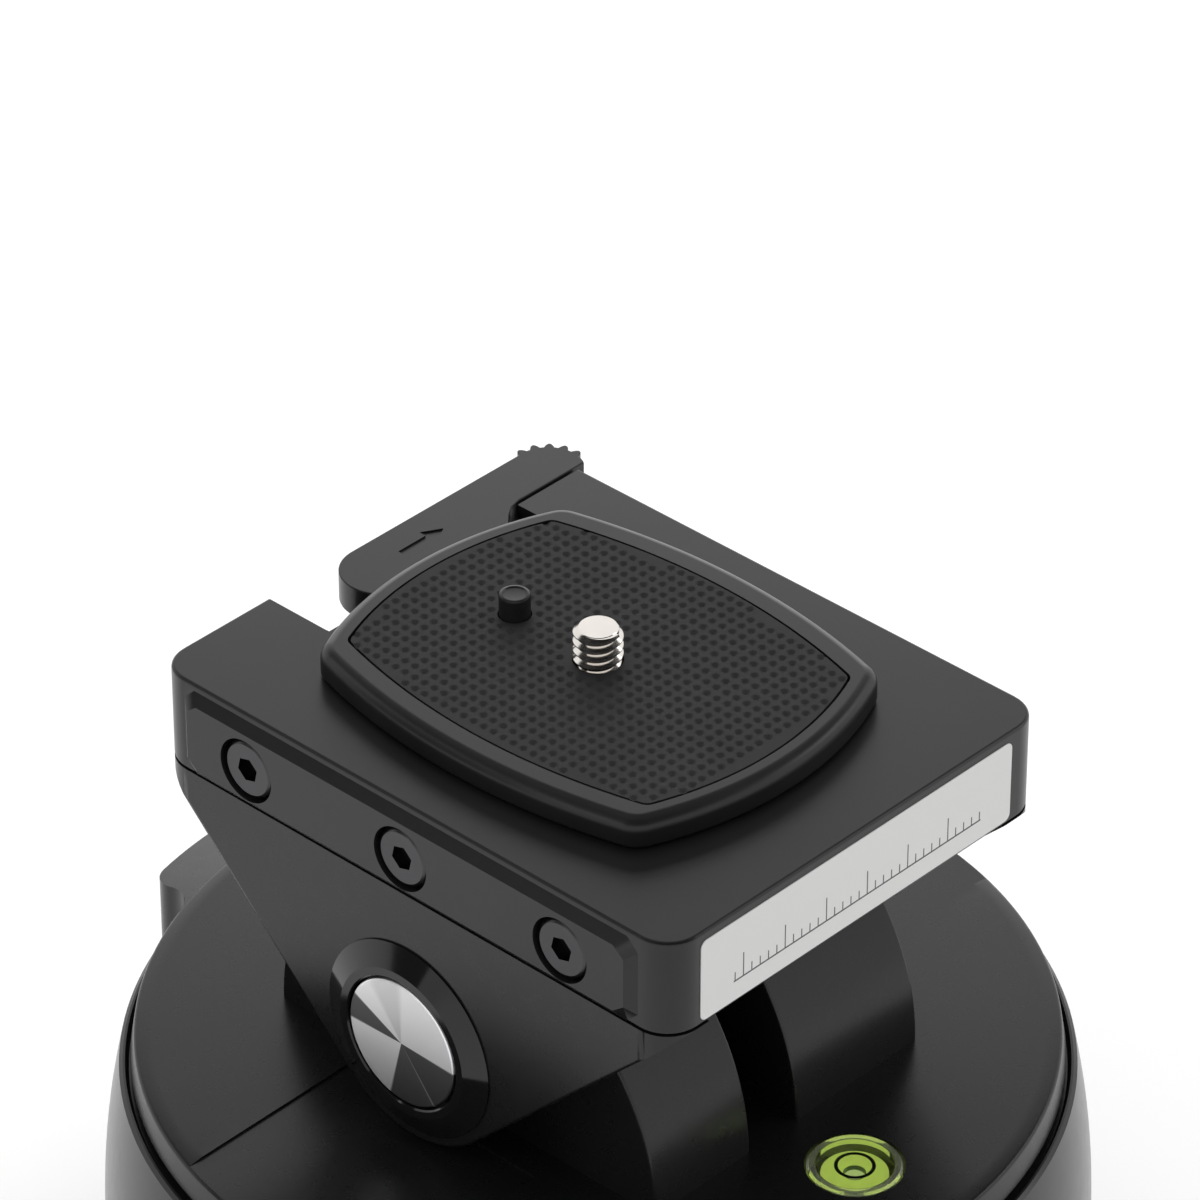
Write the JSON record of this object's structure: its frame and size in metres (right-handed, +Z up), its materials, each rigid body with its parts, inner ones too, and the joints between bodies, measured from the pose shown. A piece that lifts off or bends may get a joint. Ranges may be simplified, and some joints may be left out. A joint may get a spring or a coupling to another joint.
{
  "type": "remote pan tilt head",
  "caption": "Motorised camera turret that pans on a tripod foot, with a tilting platform on two side arms and a lever-locked quick-release plate.",
  "frame": {"origin": "centre of the tripod screw socket on the plane of the foot's underside", "axes": "+Z up along the pan axis, X along the tilt axle, -Y towards the platform's plain front face"},
  "size_m": [0.129, 0.1329, 0.1232],
  "materials": {
    "black_shell": "fine satin moulded black",
    "black_metal": "black anodised, fine bead-blasted satin",
    "black_satin": "satin black, faint moulding grain",
    "gloss_ring": "polished black",
    "spun_cap": "circular spun finish with bright sectors",
    "rubber_pad": "dull black with fine raised studs",
    "screw_black": "blackened steel",
    "nickel_screw": "bright nickel plate",
    "steel": "plain bright steel",
    "motor_can": "zinc plated",
    "brass": "machined",
    "nylon": "white gear nylon",
    "level_green": "lime green fluid",
    "clear_acrylic": "clear",
    "board_green": "solder resist",
    "cell_wrap": "shrink wrap"
  },
  "bodies": {
    "foot": {"foot_plate": "black_metal", "foot_ring": "rubber_pad", "tripod_bush": "brass", "pan_bearing": "steel", "pan_gear": "nylon"},
    "turret": {"barrel_shell": "black_shell", "turntable_cover": "black_shell", "level_cup": "black_satin", "level_fluid": "level_green", "level_window": "clear_acrylic", "pan_motor": "motor_can", "pan_motor_bracket": "steel", "tilt_motor": "motor_can", "tilt_motor_bracket": "steel", "battery_pack": "cell_wrap", "main_board": "board_green", "charge_socket": "steel", "switch_body": "steel", "status_light": "clear_acrylic", "axle_bush_left": "brass", "axle_bush_right": "brass"},
    "pan_pinion": {"pan_pinion": "brass"},
    "tilt_pinion": {"tilt_pinion": "brass"},
    "power_switch": {"power_switch": "black_satin"},
    "platform": {"platform_housing": "black_metal", "platform_floor": "black_metal", "tilt_arm_left": "black_metal", "tilt_arm_right": "black_metal", "tilt_axle": "steel", "tilt_sector_gear": "nylon", "hub_ring_left": "gloss_ring", "hub_ring_right": "gloss_ring", "axle_cap_left": "spun_cap", "axle_cap_right": "spun_cap", "side_screw_left_1": "screw_black", "side_screw_left_2": "screw_black", "side_screw_left_3": "screw_black", "side_screw_right_1": "screw_black", "side_screw_right_2": "screw_black", "side_screw_right_3": "screw_black", "lever_pin": "steel", "lever_spring": "steel"},
    "release_lever": {"release_lever": "black_satin"},
    "quick_plate": {"quick_plate": "black_satin", "plate_pad": "rubber_pad", "pin_plug": "black_satin", "pin_spring": "steel"},
    "camera_screw": {"camera_screw": "nickel_screw"},
    "anti_twist_pin": {"anti_twist_pin": "black_satin"}
  },
  "joints": [
    {"name": "pan", "type": "hinge", "parent": "foot", "child": "turret", "pos_m": [0, 0, 0.009], "axis": [0, 0, 1], "continuous": true},
    {"name": "pan_pinion_spin", "type": "hinge", "parent": "turret", "child": "pan_pinion", "pos_m": [0, -0.03, 0.0141], "axis": [0, 0, 1], "continuous": true},
    {"name": "tilt", "type": "hinge", "parent": "turret", "child": "platform", "pos_m": [0, 0, 0.078], "axis": [1, 0, 0], "range_deg": [-15, 15]},
    {"name": "tilt_pinion_spin", "type": "hinge", "parent": "turret", "child": "tilt_pinion", "pos_m": [-0.0028, 0, 0.046], "axis": [1, 0, 0], "range_deg": [-66, 66]},
    {"name": "power_switch_slide", "type": "slide", "parent": "turret", "child": "power_switch", "axis": [1, 0, 0], "range_m": [0, 0.0036]},
    {"name": "release_lever_swing", "type": "hinge", "parent": "platform", "child": "release_lever", "pos_m": [0.0003, 0.038, 0.1119], "axis": [0, 0, 1], "range_deg": [0, 75], "stiffness_Nm_per_rad": 0.03, "springref_deg": -17.19},
    {"name": "plate_lift", "type": "slide", "parent": "platform", "child": "quick_plate", "axis": [0, 0, 1], "range_m": [0, 0.03]},
    {"name": "camera_screw_turn", "type": "hinge", "parent": "quick_plate", "child": "camera_screw", "pos_m": [0, 0, 0.116], "axis": [0, 0, 1], "continuous": true},
    {"name": "anti_twist_pin_press", "type": "slide", "parent": "quick_plate", "child": "anti_twist_pin", "axis": [0, 0, -1], "range_m": [0, 0.0028], "stiffness_N_per_m": 200, "springref_m": -0.001, "deforming": ["pin_spring"]}
  ],
  "couplings": [
    {"joint": "pan_pinion_spin", "follows": "pan", "ratio": 4},
    {"joint": "tilt_pinion_spin", "follows": "tilt", "ratio": -4.3333}
  ]
}
